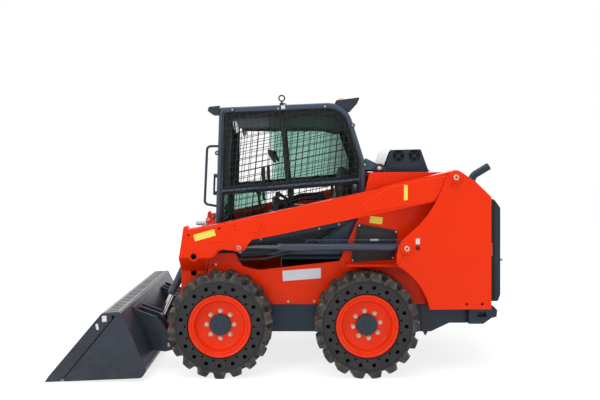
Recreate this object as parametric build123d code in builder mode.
from build123d import *
from math import atan2, cos, degrees, hypot, radians, sin
import os

# Skid steer loader, in millimetres.  +X points forward, to the bucket, +Y to the
# left and +Z up; the floor is at Z = 0.  Side outlines are drawn on SIDE, whose
# origin is on the floor below the middle of the wheelbase, as rows of
# (x forward of that middle, height, corner radius).

os.makedirs("parts", exist_ok=True)

# wheels
WHEELBASE = 1085
MID = -75  # the middle of the wheelbase, behind the centre of the overall box
TRACK = 1430  # between the middles of the left and right tyres
TYRE_RADIUS = 387.5
TYRE_WIDTH = 250
TREAD_BASE = 352  # radius between the lugs
RIM_SEAT = 203  # radius where the tyre sits on the rim
LUGS = 18  # in each of the two rows
LUG_WIDTH = 82
HUB_RADIUS = 66
SPINDLE_RADIUS = 35

# fits and plates
PLATE = 12
SHEET = 8
PIN_GAP = 0.1  # radial clearance of a turning pin
SEAT_GAP = 0.3  # between pieces that seat on each other
RUN_GAP = 7  # beside a moving ear

# pivots in the side view, (x, z)
ARM_PIVOT = (-1212, 1479)
LIFT_BASE = (-844, 948)
LIFT_EYE = (409, 952)
TILT_BASE = (765, 990)
TILT_EYE = (1056, 362)
BUCKET_PIN = (962, 185)
CAB_PIN = (-673, 1542)
HOOD_PIN = (-1112, 1494)
DOOR_HINGE_X = -1545
CROSS_TUBE = (775, 520)

# pins and cylinders
ARM_PIN_RADIUS = 30
LIFT_PIN_RADIUS = 25
TILT_PIN_RADIUS = 20
BUCKET_PIN_RADIUS = 22
CAB_PIN_RADIUS = 15
HINGE_PIN_RADIUS = 8
LIFT_STROKE = 722
LIFT_GLAND = 970  # from the base pin to the open end of the barrel
TILT_IN = 86  # how far the tilt rod still goes in from rest
TILT_OUT = 294
TILT_GLAND = 500
LIFT_BARREL_RADIUS = 30
TILT_BARREL_RADIUS = 32
BORE_RADIUS = 22.3
ROD_RADIUS = 18
GLAND_LENGTH = 30
PISTON_LENGTH = 30

# half widths, from the centre plane outwards
TILT_Y = 400  # middle of a tilt cylinder
LEG_Y = 512  # middle of the lower leg of an arm
LEG_WIDTH = 100
BODY_Y = 570  # outer face of the side walls
ARM_Y = 680  # middle of an arm and of its lift cylinder
ARM_WIDTH = 80
TOWER_Y = 745  # outer face of a tower
CAB_Y = 450  # outer face of the cab's side frames
CAB_FRAME = 45  # thickness of the side frames
BUCKET_Y = 905
EYE_WIDTH = 50
TILT_EYE_WIDTH = 70

# chassis
BELLY_Z = 283
SILL_Z = 493  # top of the lower frame, foot of the side walls
NOSE_X = 640
TAIL_X = -1478
CAB_FLOOR_Z = 850
DECK_Z = 1510
ARCH_RADIUS = 488  # of the tower's cut-out round the rear wheel

SIDE = Plane(origin=(MID, 0, 0), x_dir=(1, 0, 0), z_dir=(0, -1, 0))
REAR_AXLE = (-WHEELBASE / 2, TYRE_RADIUS)
FRONT_AXLE = (WHEELBASE / 2, TYRE_RADIUS)
TYRE_OUT = (TRACK + TYRE_WIDTH) / 2
TYRE_IN = (TRACK - TYRE_WIDTH) / 2


def fill(rows, mode=Mode.ADD):
    """Fill an outline given as rows of (x, z, corner radius)."""
    with BuildLine() as edge:
        FilletPolyline(*[row[:2] for row in rows], radius=[row[2] for row in rows], close=True)
    make_face(edge.edges(), mode=mode)


def slab(rows, y_low, y_high, mode=Mode.ADD):
    """Extrude a side outline from y_low to y_high."""
    with BuildSketch(SIDE.offset(-y_high)) as face:
        fill(rows)
    extrude(face.sketch, amount=y_high - y_low, mode=mode)


def bar(centre, radius, y_low, y_high, mode=Mode.ADD):
    """A round bar, or with Mode.SUBTRACT a bore, along Y."""
    with BuildSketch(SIDE.offset(-y_high)) as face:
        with Locations(centre):
            Circle(radius)
    extrude(face.sketch, amount=y_high - y_low, mode=mode)


def block(x_low, x_high, y_low, y_high, z_low, z_high, mode=Mode.ADD):
    """A rectangular block between the given faces."""
    slab([(x_low, z_low, 0), (x_high, z_low, 0), (x_high, z_high, 0), (x_low, z_high, 0)],
         y_low, y_high, mode)


def on_arc(centre, radius, angle):
    """The point at an angle, in degrees from +X towards +Z, round a centre."""
    return (centre[0] + radius * cos(radians(angle)), centre[1] + radius * sin(radians(angle)))


def save(part, name):
    """Label a finished piece and write its file."""
    part.label = name
    export_step(part, f"parts/{name}.step")


# ---------------------------------------------------------------- wheels
# name, axle in the side view, side (+1 left, -1 right)
WHEELS = [
    ("front_left", FRONT_AXLE, 1),
    ("front_right", FRONT_AXLE, -1),
    ("rear_left", REAR_AXLE, 1),
    ("rear_right", REAR_AXLE, -1),
]
# profiles in rows of (distance from the tyre's outer face, radius)
BEAD_DEPTH = 14
FLANGE_RADIUS = 231
TYRE_PROFILE = [
    (BEAD_DEPTH, RIM_SEAT), (BEAD_DEPTH, 233), (0, 241), (0, 328), (22, TREAD_BASE),
    (TYRE_WIDTH - 22, TREAD_BASE), (TYRE_WIDTH, 328), (TYRE_WIDTH, 241),
    (TYRE_WIDTH - BEAD_DEPTH, 233), (TYRE_WIDTH - BEAD_DEPTH, RIM_SEAT),
]
DISC_DEPTH = 70  # from the tyre's outer face to the wheel disc
DISC_THICKNESS = 12
RIM_PROFILE = [
    (2, FLANGE_RADIUS), (BEAD_DEPTH - SEAT_GAP, FLANGE_RADIUS),
    (BEAD_DEPTH - SEAT_GAP, RIM_SEAT - SEAT_GAP),
    (TYRE_WIDTH - BEAD_DEPTH + SEAT_GAP, RIM_SEAT - SEAT_GAP),
    (TYRE_WIDTH - BEAD_DEPTH + SEAT_GAP, FLANGE_RADIUS), (TYRE_WIDTH - 2, FLANGE_RADIUS),
    (TYRE_WIDTH - 2, 192), (DISC_DEPTH + DISC_THICKNESS, 192),
    (DISC_DEPTH + DISC_THICKNESS, HUB_RADIUS), (DISC_DEPTH, HUB_RADIUS), (DISC_DEPTH, 165),
    (DISC_DEPTH - 14, 178), (30, 182), (10, 193), (8, 212), (2, 218),
]
HUB_PROFILE = [
    (DISC_DEPTH - SEAT_GAP, HUB_RADIUS - SEAT_GAP), (DISC_DEPTH - SEAT_GAP, 78),
    (DISC_DEPTH - 20, 78), (DISC_DEPTH - 27, 70), (DISC_DEPTH - 27, 30), (DISC_DEPTH - 33, 28),
    (DISC_DEPTH - 33, 0), (DISC_DEPTH + 25, 0), (DISC_DEPTH + 25, SPINDLE_RADIUS + PIN_GAP),
    (DISC_DEPTH + 70, SPINDLE_RADIUS + PIN_GAP), (DISC_DEPTH + 70, 110),
    (DISC_DEPTH + DISC_THICKNESS + SEAT_GAP, 110),
    (DISC_DEPTH + DISC_THICKNESS + SEAT_GAP, HUB_RADIUS - SEAT_GAP),
]


def turned(axle, side, profile):
    """Revolve a wheel profile about its axle; the table's depth runs inwards."""
    across = Plane(origin=(MID + axle[0], 0, axle[1]), x_dir=(0, 1, 0), z_dir=(1, 0, 0))
    with BuildSketch(across) as face:
        fill([(side * (TYRE_OUT - depth), radius, 0) for depth, radius in profile])
    revolve(face.sketch, axis=Axis((MID + axle[0], 0, axle[1]), (0, 1, 0)))


def lug_row(axle, start, y_low, y_high):
    """One row of tread lugs, LUGS blocks evenly spaced from the start angle."""
    with BuildSketch(SIDE.offset(-y_high)) as face:
        with Locations(axle):
            with PolarLocations(TREAD_BASE, LUGS, start_angle=start):
                Rectangle(2 * (TYRE_RADIUS - 320), LUG_WIDTH)
        with Locations(axle):
            Circle(TYRE_RADIUS, mode=Mode.INTERSECT)
    extrude(face.sketch, amount=y_high - y_low)


for name, axle, side in WHEELS:
    outer_row = sorted((side * TRACK / 2, side * TYRE_OUT))
    inner_row = sorted((side * TRACK / 2, side * TYRE_IN))
    with BuildPart() as tyre:
        turned(axle, side, TYRE_PROFILE)
        lug_row(axle, -90, *outer_row)
        lug_row(axle, -90 + 180 / LUGS, *inner_row)
    save(tyre.part, f"tyre_{name}")

    with BuildPart() as rim:
        turned(axle, side, RIM_PROFILE)
    save(rim.part, f"rim_{name}")

    with BuildPart() as hub:
        turned(axle, side, HUB_PROFILE)
    save(hub.part, f"hub_{name}")

# ---------------------------------------------------------------- chassis
# The lower frame is a welded tub, open on top, with its tail raised.
TAIL_RISE = (-1060, -1200)  # where the belly starts and ends its rise to the tail
TAIL_Z = 349
BUMPER_X = -1339
with BuildPart() as lower_frame:
    slab([(NOSE_X, SILL_Z, 0), (NOSE_X, BELLY_Z + 62, 30), (NOSE_X - 55, BELLY_Z, 30),
          (TAIL_RISE[0], BELLY_Z, 20), (TAIL_RISE[1], TAIL_Z, 20), (BUMPER_X, TAIL_Z, 0),
          (BUMPER_X, SILL_Z, 0)], -BODY_Y, BODY_Y)
    slab([(NOSE_X - PLATE, SILL_Z + PLATE, 0), (NOSE_X - PLATE, BELLY_Z + 68, 24),
          (NOSE_X - 60, BELLY_Z + PLATE, 24), (TAIL_RISE[0] + 3, BELLY_Z + PLATE, 20),
          (TAIL_RISE[1] + 3, TAIL_Z + PLATE, 20), (BUMPER_X + PLATE, TAIL_Z + PLATE, 0),
          (BUMPER_X + PLATE, SILL_Z + PLATE, 0)],
         PLATE - BODY_Y, BODY_Y - PLATE, Mode.SUBTRACT)
save(lower_frame.part, "lower_frame")

HOUSING_RADIUS = 90
with BuildPart() as axle_housings:
    for axle in (FRONT_AXLE, REAR_AXLE):
        bar(axle, HOUSING_RADIUS, BODY_Y, TYRE_OUT - DISC_DEPTH - 70 - 5)
        bar(axle, SPINDLE_RADIUS, BODY_Y, TYRE_OUT - DISC_DEPTH - 25 - SEAT_GAP)
    mirror(about=Plane.XZ)
save(axle_housings.part, "axle_housings")

# Side walls: one plate a side, low beside the cab and high beside the engine.
GRILLE = [(-492, 1118, 15), (-799, 1065, 15), (-775, 840, 15), (-438, 820, 15)]
GRILLE_OPENING = [(-515, 1085, 20), (-770, 1040, 20), (-750, 870, 20), (-475, 855, 20)]
with BuildPart() as side_walls:
    slab([(NOSE_X, SILL_Z, 0), (NOSE_X, 887, 12), (450, 887, 40), (400, 785, 60),
          (269, 757, 80), (-353, 827, 0), (-504, 1169, 0), (-574, 1463, 0),
          (-590, DECK_Z, 40), (-1150, 1513, 0), (-1264, 1505, 30), (-1364, 1440, 20),
          (TAIL_X, 1330, 0), (TAIL_X, SILL_Z, 0)], BODY_Y - PLATE, BODY_Y)
    slab(GRILLE_OPENING, BODY_Y - PLATE, BODY_Y, Mode.SUBTRACT)
    mirror(about=Plane.XZ)
save(side_walls.part, "side_walls")

GRILLE_THICKNESS = 10
GRILLE_SLOT = 14
with BuildPart() as side_grilles:
    slab(GRILLE, BODY_Y, BODY_Y + GRILLE_THICKNESS)
    for height in range(880, 1040, 26):
        slab([(-735, height, 6), (-530, height, 6), (-530, height + GRILLE_SLOT, 6),
              (-735, height + GRILLE_SLOT, 6)],
             BODY_Y, BODY_Y + GRILLE_THICKNESS, Mode.SUBTRACT)
    mirror(about=Plane.XZ)
save(side_grilles.part, "side_grilles")

# Towers: an outer plate with its rear wall, wheel arch, ledge and pivot pins.
ARCH_START = 118.1  # degrees round the rear axle, where the arch meets the ledge
ARCH_END = 167.9
COLLAR = 48  # radius of the collars round the pins
with BuildPart() as towers:
    with BuildSketch(SIDE.offset(-TOWER_Y)) as face:
        with BuildLine():
            arch = [on_arc(REAR_AXLE, ARCH_RADIUS, a)
                    for a in (ARCH_START, (ARCH_START + ARCH_END) / 2, ARCH_END)]
            ThreePointArc(*arch)
            Polyline(arch[2], (TAIL_X, SILL_Z), (TAIL_X, 1333), (-1364, 1444), (-1264, 1512),
                     (ARM_PIVOT[0] - 20, ARM_PIVOT[1] + 52), (ARM_PIVOT[0] + 25, ARM_PIVOT[1] + 51),
                     (ARM_PIVOT[0] + 60, ARM_PIVOT[1] + 15), (-1111, 1390), (-1062, 1290),
                     (-1004, 1196), (-935, 1117), (-868, 1057), (-806, LIFT_BASE[1] + 54),
                     (-784, LIFT_BASE[1] + 10), (-770, LIFT_BASE[1] - 60), arch[0])
        make_face()
    extrude(amount=PLATE)
    with BuildSketch(SIDE.offset(-TOWER_Y)) as face:
        with BuildLine():
            ThreePointArc(*arch)
            ThreePointArc(*[on_arc(REAR_AXLE, ARCH_RADIUS + SHEET, a)
                            for a in (ARCH_START, (ARCH_START + ARCH_END) / 2, ARCH_END)])
            Line(arch[0], on_arc(REAR_AXLE, ARCH_RADIUS + SHEET, ARCH_START))
            Line(arch[2], on_arc(REAR_AXLE, ARCH_RADIUS + SHEET, ARCH_END))
        make_face()
    extrude(amount=TOWER_Y - BODY_Y)
    block(arch[0][0] - 4, -395, BODY_Y, TOWER_Y, arch[0][1] - SHEET, arch[0][1])
    block(TAIL_X, TAIL_X + PLATE, BODY_Y, TOWER_Y, SILL_Z, 1333)
    bar(ARM_PIVOT, COLLAR, TOWER_Y, TOWER_Y + 12)
    bar(ARM_PIVOT, ARM_PIN_RADIUS, BODY_Y, TOWER_Y + 20)
    bar(LIFT_BASE, COLLAR, TOWER_Y, TOWER_Y + 12)
    bar(LIFT_BASE, LIFT_PIN_RADIUS, BODY_Y, TOWER_Y + 20)
    # two fixing holes for a counterweight, low at the back
    for hole_x in (-1294, -1410):
        bar((hole_x, 532), 11, TOWER_Y - PLATE, TOWER_Y, Mode.SUBTRACT)
    mirror(about=Plane.XZ)
save(towers.part, "towers")

# The footwell is one folded sheet: front wall, floor, riser and cab shelf.
WELL_FLOOR_Z = SILL_Z
RISER_X = 100
BULKHEAD_X = -590
INNER_Y = BODY_Y - PLATE
HOOD_SWING = 28  # from the hood's hinge to the deck, clear of the hood's front edge
with BuildPart() as footwell:
    shelf = CAB_FLOOR_Z - SEAT_GAP
    slab([(NOSE_X, WELL_FLOOR_Z, 0), (NOSE_X, shelf, 0), (NOSE_X - SHEET, shelf, 0),
          (NOSE_X - SHEET, WELL_FLOOR_Z + SHEET, 0), (RISER_X, WELL_FLOOR_Z + SHEET, 0),
          (RISER_X, shelf, 0), (BULKHEAD_X, shelf, 0), (BULKHEAD_X, shelf - SHEET, 0),
          (RISER_X - SHEET, shelf - SHEET, 0), (RISER_X - SHEET, WELL_FLOOR_Z, 0)],
         -INNER_Y, INNER_Y)
save(footwell.part, "footwell")

# Bulkhead behind the cab, and the fixed deck over the front of the engine.
with BuildPart() as rear_deck:
    slab([(BULKHEAD_X, CAB_FLOOR_Z - SHEET, 0), (BULKHEAD_X, DECK_Z, 0), (HOOD_PIN[0] + HOOD_SWING, DECK_Z, 0),
          (HOOD_PIN[0] + HOOD_SWING, DECK_Z - PLATE, 0), (BULKHEAD_X - PLATE, DECK_Z - PLATE, 0),
          (BULKHEAD_X - PLATE, CAB_FLOOR_Z - SHEET, 0)], -INNER_Y, INNER_Y)
    # cab hinge ears with their pins, one each side of the cab's brackets
    slab([(CAB_PIN[0] - 60, DECK_Z, 0), (CAB_PIN[0] - 30, CAB_PIN[1] + 30, 28),
          (CAB_PIN[0] + 30, CAB_PIN[1] + 30, 28), (CAB_PIN[0] + 50, DECK_Z, 0)],
         CAB_Y + 5, CAB_Y + 5 + PLATE)
    bar(CAB_PIN, CAB_PIN_RADIUS, CAB_Y - 25, CAB_Y + 25)
    bar(CAB_PIN, 33, CAB_Y + 5, CAB_Y + 22)
    mirror(about=Plane.XZ)
save(rear_deck.part, "rear_deck")

with BuildPart() as engine:
    block(-1300, -760, -280, 280, TAIL_Z + PLATE, 1150)
save(engine.part, "engine_block")

with BuildPart() as rear_bumper:
    slab([(BUMPER_X, SILL_Z - 4, 0), (-1530, SILL_Z - 4, 15), (-1559, 458, 10), (-1553, 406, 10),
          (-1516, 399, 0), (-1451, 353, 0), (BUMPER_X, 353, 0)], -620, 620)
    for y in (-620, 580):
        slab([(-1402, 408, 4), (-1480, 408, 4), (-1468, 442, 4), (-1414, 442, 4)],
             y, y + 40, Mode.SUBTRACT)
save(rear_bumper.part, "rear_bumper")

with BuildPart() as tail_lamps:
    block(TAIL_X - 22, TAIL_X, 600, 700, 880, 985)
    mirror(about=Plane.XZ)
save(tail_lamps.part, "tail_lamps")

# Condenser on the deck: a box with sloping ends and two round fan openings a side.
CONDENSER_Y = 360
FANS = [(-839, 1637), (-967, 1639)]
FAN_RADIUS = 45
with BuildPart() as condenser:
    slab([(-716, DECK_Z, 0), (-776, 1687, 12), (-1019, 1693, 12), (HOOD_PIN[0] + HOOD_SWING, DECK_Z, 0)],
         -CONDENSER_Y, CONDENSER_Y)
    for fan in FANS:
        bar(fan, FAN_RADIUS, CONDENSER_Y - 30, CONDENSER_Y, Mode.SUBTRACT)
        bar(fan, FAN_RADIUS, -CONDENSER_Y, 30 - CONDENSER_Y, Mode.SUBTRACT)
save(condenser.part, "condenser_box")

with BuildPart() as fans:
    for fan in FANS:
        with BuildSketch(SIDE.offset(-(CONDENSER_Y - 10))) as face:
            with Locations(fan):
                Circle(FAN_RADIUS)
                Circle(FAN_RADIUS - 5, mode=Mode.SUBTRACT)
                Rectangle(2 * FAN_RADIUS - 6, 9)
                Rectangle(9, 2 * FAN_RADIUS - 6)
                Circle(13)
        extrude(face.sketch, amount=6)
    mirror(about=Plane.XZ)
save(fans.part, "condenser_fans")

# ---------------------------------------------------------------- hood
HOOD_Y = INNER_Y - 5
with BuildPart() as hood:
    slab([(HOOD_PIN[0] + 8, 1508, 0), (-1262, 1500, 40), (-1360, 1432, 40), (TAIL_X + 4, 1326, 0),
          (TAIL_X + 16, 1318, 0), (-1352, 1420, 40), (-1258, 1488, 40), (HOOD_PIN[0] + 8, 1496, 0)],
         -HOOD_Y, HOOD_Y)
    # hinge lugs under the front edge
    for y in (HOOD_Y - 20, -HOOD_Y):
        slab([(HOOD_PIN[0] + 13, 1508, 0), (HOOD_PIN[0] - 30, 1508, 0), (HOOD_PIN[0] - 20, 1478, 12),
              (HOOD_PIN[0] + 13, 1478, 12)], y, y + 20)
    bar(HOOD_PIN, HINGE_PIN_RADIUS + PIN_GAP, -HOOD_Y, HOOD_Y, Mode.SUBTRACT)
save(hood.part, "hood")

with BuildPart() as hood_pins:
    bar(HOOD_PIN, HINGE_PIN_RADIUS, HOOD_Y - 20, INNER_Y)
    mirror(about=Plane.XZ)
save(hood_pins.part, "hood_pins")

EXHAUST_Y = 350
EXHAUST_RADIUS = 30
with BuildPart() as exhaust:
    with BuildLine(SIDE.offset(-EXHAUST_Y)) as route:
        FilletPolyline((-1420, 1360), (-1436, 1478), (-1566, 1556), radius=[70])
    with BuildSketch(Plane(origin=route.line @ 0, z_dir=route.line % 0)):
        Circle(EXHAUST_RADIUS)
        Circle(EXHAUST_RADIUS - 4, mode=Mode.SUBTRACT)
    sweep()
    slab([(HOOD_PIN[0], 1508, 0), (-1262, 1500, 40), (-1360, 1432, 40), (TAIL_X + 4, 1326, 0),
          (TAIL_X + 4, 1200, 0), (HOOD_PIN[0], 1200, 0)], EXHAUST_Y - 60, EXHAUST_Y + 60,
         Mode.SUBTRACT)
save(exhaust.part, "exhaust_pipe")

# ---------------------------------------------------------------- rear door
DOOR_Y = 530
DOOR_BACK = -1609
DOOR_LOW = 507
DOOR_HIGH = 1318
DOOR_SKIN = 25
HINGE_Y = -549
HINGES = (640, 1180)  # heights of the two hinges
HINGE_HEIGHT = 70
with BuildPart() as rear_door:
    slab([(TAIL_X - 4, DOOR_LOW, 0), (TAIL_X - 4, DOOR_HIGH, 0), (-1562, 1300, 30),
          (DOOR_BACK, 1235, 40), (DOOR_BACK, 560, 35), (-1590, DOOR_LOW, 20)], -DOOR_Y, DOOR_Y)
    block(DOOR_BACK + DOOR_SKIN, TAIL_X, DOOR_SKIN - DOOR_Y, DOOR_Y - DOOR_SKIN,
          DOOR_LOW + DOOR_SKIN, 1225, Mode.SUBTRACT)
    # louvres through the rear skin
    for height in range(700, 1180, 60):
        block(DOOR_BACK - 1, DOOR_BACK + DOOR_SKIN, -380, 380, height, height + 26, Mode.SUBTRACT)
    # hinge knuckles on the right edge
    for height in HINGES:
        with BuildSketch(Plane.XY.offset(height)) as face:
            with Locations((MID + DOOR_HINGE_X, HINGE_Y)):
                Circle(HINGE_PIN_RADIUS + 9)
            with Locations((MID + DOOR_HINGE_X, HINGE_Y + 12)):
                Rectangle(30, 24)
        extrude(face.sketch, amount=HINGE_HEIGHT)
        with BuildSketch(Plane.XY.offset(height)) as face:
            with Locations((MID + DOOR_HINGE_X, HINGE_Y)):
                Circle(HINGE_PIN_RADIUS + PIN_GAP)
        extrude(face.sketch, amount=HINGE_HEIGHT, mode=Mode.SUBTRACT)
save(rear_door.part, "rear_door")

with BuildPart() as door_latch:
    with BuildSketch(Plane(origin=(MID + DOOR_BACK, 430, 815), z_dir=(-1, 0, 0))):
        Circle(24)
    extrude(amount=14)
    with BuildSketch(Plane(origin=(MID + DOOR_BACK - 14, 430, 815), z_dir=(-1, 0, 0))):
        Circle(11)
    extrude(amount=30)
save(door_latch.part, "door_latch")

# brackets that carry the door's hinge pins, on the right tower's rear wall
with BuildPart() as door_hinges:
    for height in HINGES:
        for foot in (height - 14, height + HINGE_HEIGHT + 2):
            with BuildSketch(Plane.XY.offset(foot)) as face:
                with Locations((MID + DOOR_HINGE_X, HINGE_Y)):
                    Circle(HINGE_PIN_RADIUS + 9)
                with BuildLine() as edge:
                    Polyline((MID + DOOR_HINGE_X, HINGE_Y - 17), (MID + TAIL_X, -BODY_Y - 40),
                             (MID + TAIL_X, -BODY_Y + 12), (MID + DOOR_HINGE_X, HINGE_Y + 10),
                             close=True)
                make_face()
            extrude(face.sketch, amount=12)
        with BuildSketch(Plane.XY.offset(height - 14)) as face:
            with Locations((MID + DOOR_HINGE_X, HINGE_Y)):
                Circle(HINGE_PIN_RADIUS)
        extrude(face.sketch, amount=HINGE_HEIGHT + 28)
save(door_hinges.part, "door_hinges")

# ---------------------------------------------------------------- cab
FRONT_FOOT = (628, CAB_FLOOR_Z)  # of the front pillar
FRONT_TOP = (592, 2022)
CAB_SIDE = [
    (*FRONT_FOOT, 0), (*FRONT_TOP, 30), (-414, 2066, 200), (-568, 1575, 60),
    (-562, CAB_FLOOR_Z, 0),
]
WINDOW = [(549, 1972, 20), (-383, 2014, 160), (-517, 1585, 40), (-514, 1462, 12), (562, 1374, 12)]
LOWER_WINDOW = [(566, 1345, 12), (-514, 1433, 12), (-514, 1200, 12), (-150, 930, 20), (580, 900, 20)]
with BuildPart() as cab_sides:
    slab(CAB_SIDE, CAB_Y - CAB_FRAME, CAB_Y)
    slab(WINDOW, CAB_Y - CAB_FRAME, CAB_Y, Mode.SUBTRACT)
    slab(LOWER_WINDOW, CAB_Y - CAB_FRAME, CAB_Y, Mode.SUBTRACT)
    # rear bracket to the tilt hinge
    slab([(-560, 1625, 0), (-560, 1516, 0), (CAB_PIN[0] - 15, 1516, 15),
          (CAB_PIN[0] - 30, 1560, 20), (CAB_PIN[0] + 25, 1582, 20)], CAB_Y - 20, CAB_Y)
    bar(CAB_PIN, CAB_PIN_RADIUS + PIN_GAP, CAB_Y - 26, CAB_Y, Mode.SUBTRACT)
    mirror(about=Plane.XZ)
save(cab_sides.part, "cab_sides")

GUARD_THICKNESS = 6
GUARD_PITCH = 100
GUARD_BAR = 7
GUARD = [(566, 1988, 10), (-390, 2030, 170), (-532, 1590, 40), (-528, 1180, 10), (-150, 905, 10),
         (600, 880, 10)]
with BuildPart() as cab_guards:
    with BuildSketch(SIDE.offset(-(CAB_Y + GUARD_THICKNESS))) as face:
        fill(GUARD)
        offset(amount=-14, mode=Mode.SUBTRACT)
    extrude(face.sketch, amount=GUARD_THICKNESS)
    with BuildSketch(SIDE.offset(-(CAB_Y + GUARD_THICKNESS))) as face:
        for x in range(-500, 600, GUARD_PITCH):
            with Locations((x, 1450)):
                Rectangle(GUARD_BAR, 1300)
        for z in range(950, 2030, GUARD_PITCH):
            with Locations((30, z)):
                Rectangle(1300, GUARD_BAR)
        with BuildLine() as edge:
            FilletPolyline(*[row[:2] for row in GUARD], radius=[row[2] for row in GUARD], close=True)
        make_face(mode=Mode.INTERSECT)
    extrude(face.sketch, amount=GUARD_THICKNESS)
    mirror(about=Plane.XZ)
save(cab_guards.part, "cab_guards")

ROOF_THICKNESS = 40
EYE = (97, 2096)  # centre of a lifting eye
EYE_HOLE = 17
CAB_IN = CAB_Y - CAB_FRAME
CAB_INSIDE = [(700, FRONT_TOP[1] - ROOF_THICKNESS, 0), (-372, 2066 - ROOF_THICKNESS, 160),
              (-528, 1568, 30), (-562 + ROOF_THICKNESS, CAB_FLOOR_Z - 1, 0), (700, CAB_FLOOR_Z - 1, 0)]
ROOF_FOOT = 1964  # seam between the roof and the rear wall
with BuildPart() as cab_roof:
    slab(CAB_SIDE, -CAB_IN, CAB_IN)
    slab(CAB_INSIDE, -CAB_IN, CAB_IN, Mode.SUBTRACT)
    block(-700, 700, -CAB_IN, CAB_IN, CAB_FLOOR_Z, ROOF_FOOT, Mode.SUBTRACT)
save(cab_roof.part, "cab_roof")

with BuildPart() as lifting_eyes:
    with BuildSketch(SIDE.offset(-(CAB_Y - 17))) as face:
        with Locations(EYE):
            Circle(EYE_HOLE + 11)
        with Locations((EYE[0], EYE[1] - 34)):
            Rectangle(16, 22)
        with Locations((EYE[0], 2048)):
            Rectangle(34, 22)
        with Locations(EYE):
            Circle(EYE_HOLE, mode=Mode.SUBTRACT)
    extrude(face.sketch, amount=11)
    slab(CAB_SIDE, CAB_IN, CAB_Y, Mode.SUBTRACT)
    mirror(about=Plane.XZ)
save(lifting_eyes.part, "lifting_eyes")

with BuildPart() as cab_rear:
    slab(CAB_SIDE, -CAB_IN, CAB_IN)
    slab(CAB_INSIDE, -CAB_IN, CAB_IN, Mode.SUBTRACT)
    block(-700, 700, -CAB_IN, CAB_IN, ROOF_FOOT, 2100, Mode.SUBTRACT)
    block(-700, -300, -340, 340, 1480, 1930, Mode.SUBTRACT)
save(cab_rear.part, "cab_rear")

with BuildPart() as cab_floor:
    block(-562 + ROOF_THICKNESS, RISER_X + 8, -CAB_IN, CAB_IN, CAB_FLOOR_Z, CAB_FLOOR_Z + 20)
save(cab_floor.part, "cab_floor")

PANE = 5
with BuildPart() as cab_glass:
    slab(WINDOW, CAB_Y - 25, CAB_Y - 25 + PANE)
    slab(LOWER_WINDOW, CAB_Y - 25, CAB_Y - 25 + PANE)
    mirror(about=Plane.XZ)
    slab([(-548, 1480, 0), (-548 + PANE, 1480, 0), (-544 + PANE, 1590, 0), (-438 + PANE, 1930, 0),
          (-438, 1930, 0), (-544, 1590, 0)], -340, 340)
save(cab_glass.part, "cab_glass")

SEAT_Y = 240
with BuildPart() as seat:
    block(-400, 60, -200, 200, CAB_FLOOR_Z + 20, 1000)
    slab([(100, 1000, 20), (100, 1090, 40), (-300, 1080, 20), (-380, 1560, 40), (-480, 1540, 40),
          (-430, 1000, 20)], -SEAT_Y, SEAT_Y)
save(seat.part, "seat")

with BuildPart() as consoles:
    slab([(-250, CAB_FLOOR_Z + 20, 0), (90, CAB_FLOOR_Z + 20, 0), (220, 1200, 20), (-260, 1200, 20)],
         270, 385)
    bar((150, 1290), 26, 305, 350)
    slab([(128, 1195, 0), (172, 1195, 0), (158, 1285, 0), (142, 1285, 0)], 310, 345)
    mirror(about=Plane.XZ)
save(consoles.part, "consoles")

# work lamps: hooded ones at the roof's front corners, wedge brackets at the rear
with BuildPart() as work_lamps:
    slab([(590, 2038, 0), (676, 2028, 8), (684, 1996, 8), (640, 1962, 12), (590, 1962, 0)], 335, 440)
    slab([(-325, 2058, 0), (-335, 2080, 6), (-523, 2104, 8), (-500, 2052, 8), (-440, 1985, 0)], 350, 440)
    slab(CAB_SIDE, 330, CAB_Y, Mode.SUBTRACT)
    mirror(about=Plane.XZ)
save(work_lamps.part, "work_lamps")

BEACON = (-400, 2066)  # foot of the lens, on a small stand
BEACON_RADIUS = 44
with BuildPart() as beacon:
    with Locations((MID + BEACON[0], 0, BEACON[1] - 90)):
        Cylinder(30, 94, align=(Align.CENTER, Align.CENTER, Align.MIN))
    slab(CAB_SIDE, -60, 60, Mode.SUBTRACT)
    with BuildSketch(Plane(origin=(MID + BEACON[0], 0, BEACON[1]), x_dir=(1, 0, 0), z_dir=(0, -1, 0))) as face:
        with BuildLine():
            Polyline((0, 70), (0, 0), (BEACON_RADIUS, 0), (BEACON_RADIUS, 14), (BEACON_RADIUS - 4, 40),
                     (BEACON_RADIUS - 14, 58), (BEACON_RADIUS - 30, 68), (0, 70))
        make_face()
    revolve(face.sketch, axis=Axis((MID + BEACON[0], 0, 0), (0, 0, 1)))
save(beacon.part, "beacon")

with BuildPart() as grab_handle:
    with BuildLine(SIDE.offset(-(CAB_Y - 20))) as route:
        FilletPolyline((590, 1716), (688, 1716), (708, 1258), (600, 1240), radius=[30, 30])
    with BuildSketch(Plane(origin=route.line @ 0, z_dir=route.line % 0)):
        Circle(10)
    sweep()
    slab(CAB_SIDE, CAB_IN, CAB_Y, Mode.SUBTRACT)
save(grab_handle.part, "grab_handle")

# ---------------------------------------------------------------- cab door
# The door leans back with the pillars.  FRONT has y across and s up the pillar.
LEAN = degrees(atan2(FRONT_FOOT[0] - FRONT_TOP[0], FRONT_TOP[1] - FRONT_FOOT[1]))
FRONT = Plane(origin=(MID + FRONT_FOOT[0], 0, FRONT_FOOT[1]), x_dir=(0, 1, 0),
              z_dir=(cos(radians(LEAN)), 0, sin(radians(LEAN))))
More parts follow.
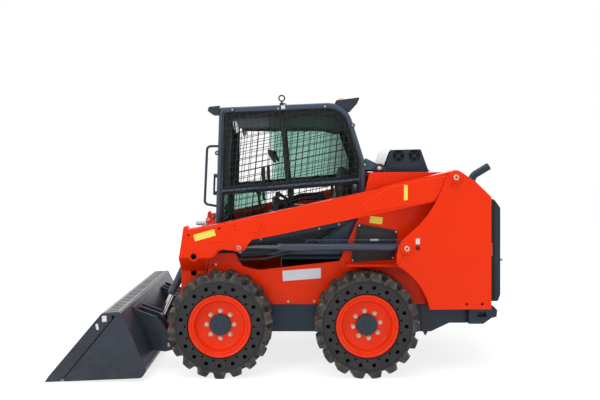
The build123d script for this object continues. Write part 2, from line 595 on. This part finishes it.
# FRONT_DOWN looks down the pillar: y across and n forward of the pillar's face
FRONT_DOWN = Plane(origin=FRONT.origin, x_dir=(0, 1, 0), z_dir=FRONT.y_dir * -1)
FRAME_GAP = 5
HINGE_LINE = (-CAB_IN + 1, 12)  # (y, n)
CAB_HINGE_PIN = 6
KNUCKLE_RADIUS = 11
KNUCKLE_LENGTH = 60
CAB_HINGES = (270, 900)
CAB_DOOR_Y = CAB_IN - FRAME_GAP
CAB_SILL = 200  # height of the fixed sill under the door
CAB_DOOR_LOW = CAB_SILL + 5  # along the pillar
CAB_DOOR_HIGH = 1110
CAB_DOOR_DEPTH = 30
RAIL = 42
with BuildPart() as cab_sill:
    with BuildSketch(FRONT) as face:
        with Locations((0, CAB_SILL / 2 + 1.5)):
            Rectangle(2 * CAB_IN, CAB_SILL - 3)
    extrude(face.sketch, amount=-CAB_DOOR_DEPTH)
save(cab_sill.part, "cab_sill")

with BuildPart() as cab_door:
    with BuildSketch(FRONT) as face:
        with Locations((0, (CAB_DOOR_HIGH + CAB_DOOR_LOW) / 2)):
            RectangleRounded(2 * CAB_DOOR_Y, CAB_DOOR_HIGH - CAB_DOOR_LOW, 30)
            RectangleRounded(2 * (CAB_DOOR_Y - RAIL), CAB_DOOR_HIGH - CAB_DOOR_LOW - 2 * RAIL, 25,
                             mode=Mode.SUBTRACT)
    extrude(face.sketch, amount=-CAB_DOOR_DEPTH)
    # knuckles on the right edge, round the hinge line in front of the pillar
    for height in CAB_HINGES:
        with BuildSketch(FRONT_DOWN.offset(-height)) as face:
            with Locations(HINGE_LINE):
                Circle(KNUCKLE_RADIUS)
            with Locations((HINGE_LINE[0] + 16, HINGE_LINE[1] - 5)):
                Rectangle(32, 10)
            with Locations((HINGE_LINE[0] + 22, HINGE_LINE[1] / 2)):
                Rectangle(20, HINGE_LINE[1])
            with Locations(HINGE_LINE):
                Circle(CAB_HINGE_PIN + PIN_GAP, mode=Mode.SUBTRACT)
        extrude(face.sketch, amount=-KNUCKLE_LENGTH)
save(cab_door.part, "cab_door")

with BuildPart() as cab_door_hinges:
    for height in CAB_HINGES:
        for foot in (height - 18, height + KNUCKLE_LENGTH + 2):
            with BuildSketch(FRONT_DOWN.offset(-foot)) as face:
                with Locations(HINGE_LINE):
                    Circle(KNUCKLE_RADIUS)
                with Locations((HINGE_LINE[0] - 14, KNUCKLE_RADIUS)):
                    Rectangle(28, 2 * KNUCKLE_RADIUS)
            extrude(face.sketch, amount=-16)
        with BuildSketch(FRONT_DOWN.offset(18 - height)) as face:
            with Locations(HINGE_LINE):
                Circle(CAB_HINGE_PIN)
        extrude(face.sketch, amount=-(KNUCKLE_LENGTH + 36))
save(cab_door_hinges.part, "cab_door_hinges")

with BuildPart() as door_glass:
    with BuildSketch(FRONT.offset(-16)) as face:
        with Locations((0, (CAB_DOOR_HIGH + CAB_DOOR_LOW) / 2)):
            RectangleRounded(2 * (CAB_DOOR_Y - RAIL), CAB_DOOR_HIGH - CAB_DOOR_LOW - 2 * RAIL, 25)
    extrude(face.sketch, amount=PANE)
save(door_glass.part, "door_glass")

with BuildPart() as door_handle:
    with BuildSketch(FRONT) as face:
        with Locations((CAB_DOOR_Y - RAIL / 2, 560)):
            RectangleRounded(26, 170, 12)
    extrude(face.sketch, amount=34)
    with BuildSketch(FRONT) as face:
        with Locations((CAB_DOOR_Y - RAIL / 2, 560)):
            Rectangle(30, 110)
    extrude(face.sketch, amount=20, mode=Mode.SUBTRACT)
save(door_handle.part, "door_handle")

# ---------------------------------------------------------------- lift arms
ARM_IN = ARM_Y - ARM_WIDTH / 2
ARM_OUT = ARM_Y + ARM_WIDTH / 2
LEG_IN = LEG_Y - LEG_WIDTH / 2
LEG_OUT = LEG_Y + LEG_WIDTH / 2
LEG_BACK = 675
BEND_TOP = 870  # where an arm leaves its outer plane to pass inside the tyre
BEND_FOOT = 750
LOBE = 12  # plates of the fork round the lift rod's eye
ARM = [
    (ARM_PIVOT[0], ARM_PIVOT[1] + 52, 0), (-706, 1414, 80), (-640, 1388, 80), (569, 1126, 0),
    (790, 1088, 10), (803, 1112, 10), (827, 1106, 10), (856, 912, 0), (864, BEND_TOP, 0),
    (612, BEND_TOP, 40), (548, 940, 60), (LIFT_EYE[0] + 30, 925, 20), (LIFT_EYE[0] - 10, 912, 20),
    (LIFT_EYE[0] - 48, 940, 40), (326, 1008, 60), (163, 1037, 0), (-1069, 1298, 0),
    (ARM_PIVOT[0], ARM_PIVOT[1] - 56, 0),
]
with BuildPart() as arms:
    slab(ARM, ARM_IN, ARM_OUT)
    bar(ARM_PIVOT, 54, BODY_Y + 3, TOWER_Y - PLATE - 3)
    # fork for the lift rod's eye
    slab([(LIFT_EYE[0] - 90, 880, 0), (LIFT_EYE[0] + 46, 880, 0), (LIFT_EYE[0] + 46, LIFT_EYE[1] + 46, 40),
          (LIFT_EYE[0] - 90, LIFT_EYE[1] + 46, 0)], ARM_IN + LOBE, ARM_OUT - LOBE, Mode.SUBTRACT)
    bar(LIFT_EYE, 34, ARM_OUT, ARM_OUT + 8)
    bar(LIFT_EYE, 18, ARM_OUT, ARM_OUT + 24)
    mirror(about=Plane.XZ)
    # bores for the pivot pins
    for y in (BODY_Y, -TOWER_Y):
        bar(ARM_PIVOT, ARM_PIN_RADIUS + PIN_GAP, y, y + TOWER_Y - BODY_Y, Mode.SUBTRACT)
    # ring boss hole in the outer face
    for y in (ARM_OUT - 30, -ARM_OUT):
        bar((750, 905), 22, y, y + 30, Mode.SUBTRACT)
save(arms.part, "lift_arms")

# Each arm's leg is welded under its front end, and a tube joins the two legs.
with BuildPart() as legs:
    # bend from the arm down to the leg inside the tyre
    with BuildSketch(Plane(origin=(MID, 0, BEND_TOP))):
        with Locations(((NOSE_X + 864) / 2, ARM_Y)):
            Rectangle(864 - NOSE_X, ARM_WIDTH)
    with BuildSketch(Plane(origin=(MID, 0, BEND_FOOT))):
        with Locations(((LEG_BACK + 868) / 2, LEG_Y)):
            Rectangle(868 - LEG_BACK, LEG_WIDTH)
    loft(ruled=True)
    slab([(LEG_BACK, BEND_FOOT, 0), (868, BEND_FOOT, 0), (872, 612, 60),
          (BUCKET_PIN[0] + 48, BUCKET_PIN[1] + 10, 0), (BUCKET_PIN[0] - 46, BUCKET_PIN[1] - 15, 0),
          (LEG_BACK + 15, 650, 60)], LEG_IN, LEG_OUT)
    bar(BUCKET_PIN, 50, LEG_IN, LEG_OUT)
    # stub, gusset and pin that carry a tilt cylinder
    slab([(TILT_BASE[0] - 32, TILT_BASE[1] + 10, 0), (TILT_BASE[0] + 32, TILT_BASE[1] + 10, 0),
          (866, 740, 0), (850, 660, 0), (712, 660, 0), (700, 740, 0)], LEG_IN - PLATE, LEG_IN)
    bar(TILT_BASE, 34, LEG_IN - PLATE, ARM_IN)
    bar(TILT_BASE, TILT_PIN_RADIUS, TILT_Y - TILT_EYE_WIDTH / 2 - 20, LEG_IN)
    bar(TILT_BASE, 30, TILT_Y - TILT_EYE_WIDTH / 2 - 20, TILT_Y - TILT_EYE_WIDTH / 2 - 4)
    mirror(about=Plane.XZ)
    bar(CROSS_TUBE, 42, -LEG_IN, LEG_IN)
    # bores for the bucket's pins
    for y in (LEG_IN, -LEG_OUT):
        bar(BUCKET_PIN, BUCKET_PIN_RADIUS + PIN_GAP, y, y + LEG_WIDTH, Mode.SUBTRACT)
save(legs.part, "arm_legs")

with BuildPart() as hose_covers:
    slab([(400, 990, 0), (355, 1012, 0), (-395, 1162, 0), (-430, 1148, 0), (-380, 1108, 0), (330, 962, 0)],
         ARM_IN - 52, ARM_IN)
    mirror(about=Plane.XZ)
save(hose_covers.part, "hose_covers")


# ---------------------------------------------------------------- cylinders
def along(start, end, y):
    """A plane square to a cylinder's axis, at its base pin."""
    return Plane(origin=(MID + start[0], y, start[1]), x_dir=(0, 1, 0),
                 z_dir=(end[0] - start[0], 0, end[1] - start[1]))


def rod_of(plane, radius, low, high, mode=Mode.ADD):
    """A round length on a cylinder's axis, between two distances from its base pin."""
    with BuildSketch(plane.offset(low)) as face:
        Circle(radius)
    extrude(face.sketch, amount=high - low, mode=mode)


# name, base pin, eye, middle y, barrel radius, gland, base pin radius, eye radius, eye width,
# distance of the piston from the base pin at rest
CYLINDERS = [
    ("lift", LIFT_BASE, LIFT_EYE, ARM_Y, LIFT_BARREL_RADIUS, LIFT_GLAND, LIFT_PIN_RADIUS, 38,
     EYE_WIDTH, LIFT_GLAND - GLAND_LENGTH - PISTON_LENGTH - LIFT_STROKE - 10),
    ("tilt", TILT_BASE, TILT_EYE, TILT_Y, TILT_BARREL_RADIUS, TILT_GLAND, TILT_PIN_RADIUS, 28,
     TILT_EYE_WIDTH, TILT_GLAND - GLAND_LENGTH - PISTON_LENGTH - TILT_OUT - 2),
]
for name, base, eye, y, radius, gland, pin_radius, eye_radius, width, piston in CYLINDERS:
    axis_plane = along(base, eye, y)
    reach = hypot(eye[0] - base[0], eye[1] - base[1])
    base_eye = pin_radius + 13
    with BuildPart() as barrel:
        rod_of(axis_plane, radius, pin_radius + 5, gland)
        bar(base, base_eye, y - width / 2, y + width / 2)
        rod_of(axis_plane, BORE_RADIUS, base_eye + 8, gland - GLAND_LENGTH, Mode.SUBTRACT)
        rod_of(axis_plane, ROD_RADIUS + SEAT_GAP, base_eye + 8, gland, Mode.SUBTRACT)
        bar(base, pin_radius + PIN_GAP, y - width, y + width, Mode.SUBTRACT)
        mirror(about=Plane.XZ)
    save(barrel.part, f"{name}_barrels")

    with BuildPart() as rod:
        rod_of(axis_plane, ROD_RADIUS, piston, reach)
        rod_of(axis_plane, BORE_RADIUS - SEAT_GAP, piston, piston + PISTON_LENGTH)
        bar(eye, eye_radius, y - width / 2, y + width / 2)
        bar(eye, pin_radius - 5, y - width / 2, y + width / 2, Mode.SUBTRACT)
        mirror(about=Plane.XZ)
    save(rod.part, f"{name}_rods")

# ---------------------------------------------------------------- coupler and bucket
COUPLER_PLATE = 10
COUPLER_Y = 600
EAR = [
    (1087.5, 142, 0), (1167.5, 332, 60), (1231.5, 460, 0), (TILT_EYE[0] + 6, TILT_EYE[1] + 38, 30),
    (TILT_EYE[0] - 36, TILT_EYE[1], 36), (BUCKET_PIN[0] - 44, BUCKET_PIN[1] + 18, 34),
    (BUCKET_PIN[0] - 38, BUCKET_PIN[1] - 40, 34), (BUCKET_PIN[0] + 30, BUCKET_PIN[1] - 55, 0),
]
INNER_EAR = TILT_Y - TILT_EYE_WIDTH / 2 - RUN_GAP
with BuildPart() as coupler:
    slab([(1087.5, 142, 0), (1167.5, 332, 60), (1239.5, 476, 0), (1240 - COUPLER_PLATE, 480, 0),
          (1168 - COUPLER_PLATE, 336, 60), (1088 - COUPLER_PLATE, 146, 0)], -COUPLER_Y, COUPLER_Y)
save(coupler.part, "bucket_coupler")

# Three ears a side stand on the back of the coupler's plate.
BEHIND_PLATE = [(1060.7, 106, 0), (1167.5 - COUPLER_PLATE, 336, 60), (1239.5, 500, 0), (1400, 500, 0),
                (1400, 106, 0)]
with BuildPart() as ears:
    slab(EAR, INNER_EAR - PLATE, INNER_EAR)
    slab(EAR, LEG_IN - RUN_GAP - 15, LEG_IN - RUN_GAP)
    slab(EAR, LEG_OUT + RUN_GAP, LEG_OUT + RUN_GAP + PLATE)
    bar(BUCKET_PIN, BUCKET_PIN_RADIUS, LEG_IN - RUN_GAP - 15, LEG_OUT + RUN_GAP + PLATE + 6)
    slab(BEHIND_PLATE, 0, COUPLER_Y, Mode.SUBTRACT)
    mirror(about=Plane.XZ)
save(ears.part, "coupler_ears")

EDGE_BACK = 1660
SKIN = 12
CUTTING_EDGE = [(1803, 0, 0), (1780, 20, 0), (EDGE_BACK, 26, 0), (EDGE_BACK, 6, 0)]
with BuildPart() as bucket:
    slab([(1803, 0, 0), (1776, 41, 0), (1392, 496, 15), (1254, 504, 12), (1168, 332, 60),
          (1082, 128, 20), (1062, 88, 30), (1097, 29, 40), (EDGE_BACK, 6, 0)], -BUCKET_Y, BUCKET_Y)
    slab([(1776, 14, 0), (1900, 14, 0), (1900, 482, 0), (1398, 482, 0), (1264, 490, 4),
          (1180, 327, 60), (1094, 124, 20), (1076, 90, 20), (1108, 41, 34), (EDGE_BACK, 18, 0)],
         SKIN - BUCKET_Y, BUCKET_Y - SKIN, Mode.SUBTRACT)
    slab(CUTTING_EDGE, -BUCKET_Y, BUCKET_Y, Mode.SUBTRACT)
save(bucket.part, "bucket")

with BuildPart() as cutting_edge:
    slab(CUTTING_EDGE, -BUCKET_Y, BUCKET_Y)
save(cutting_edge.part, "cutting_edge")
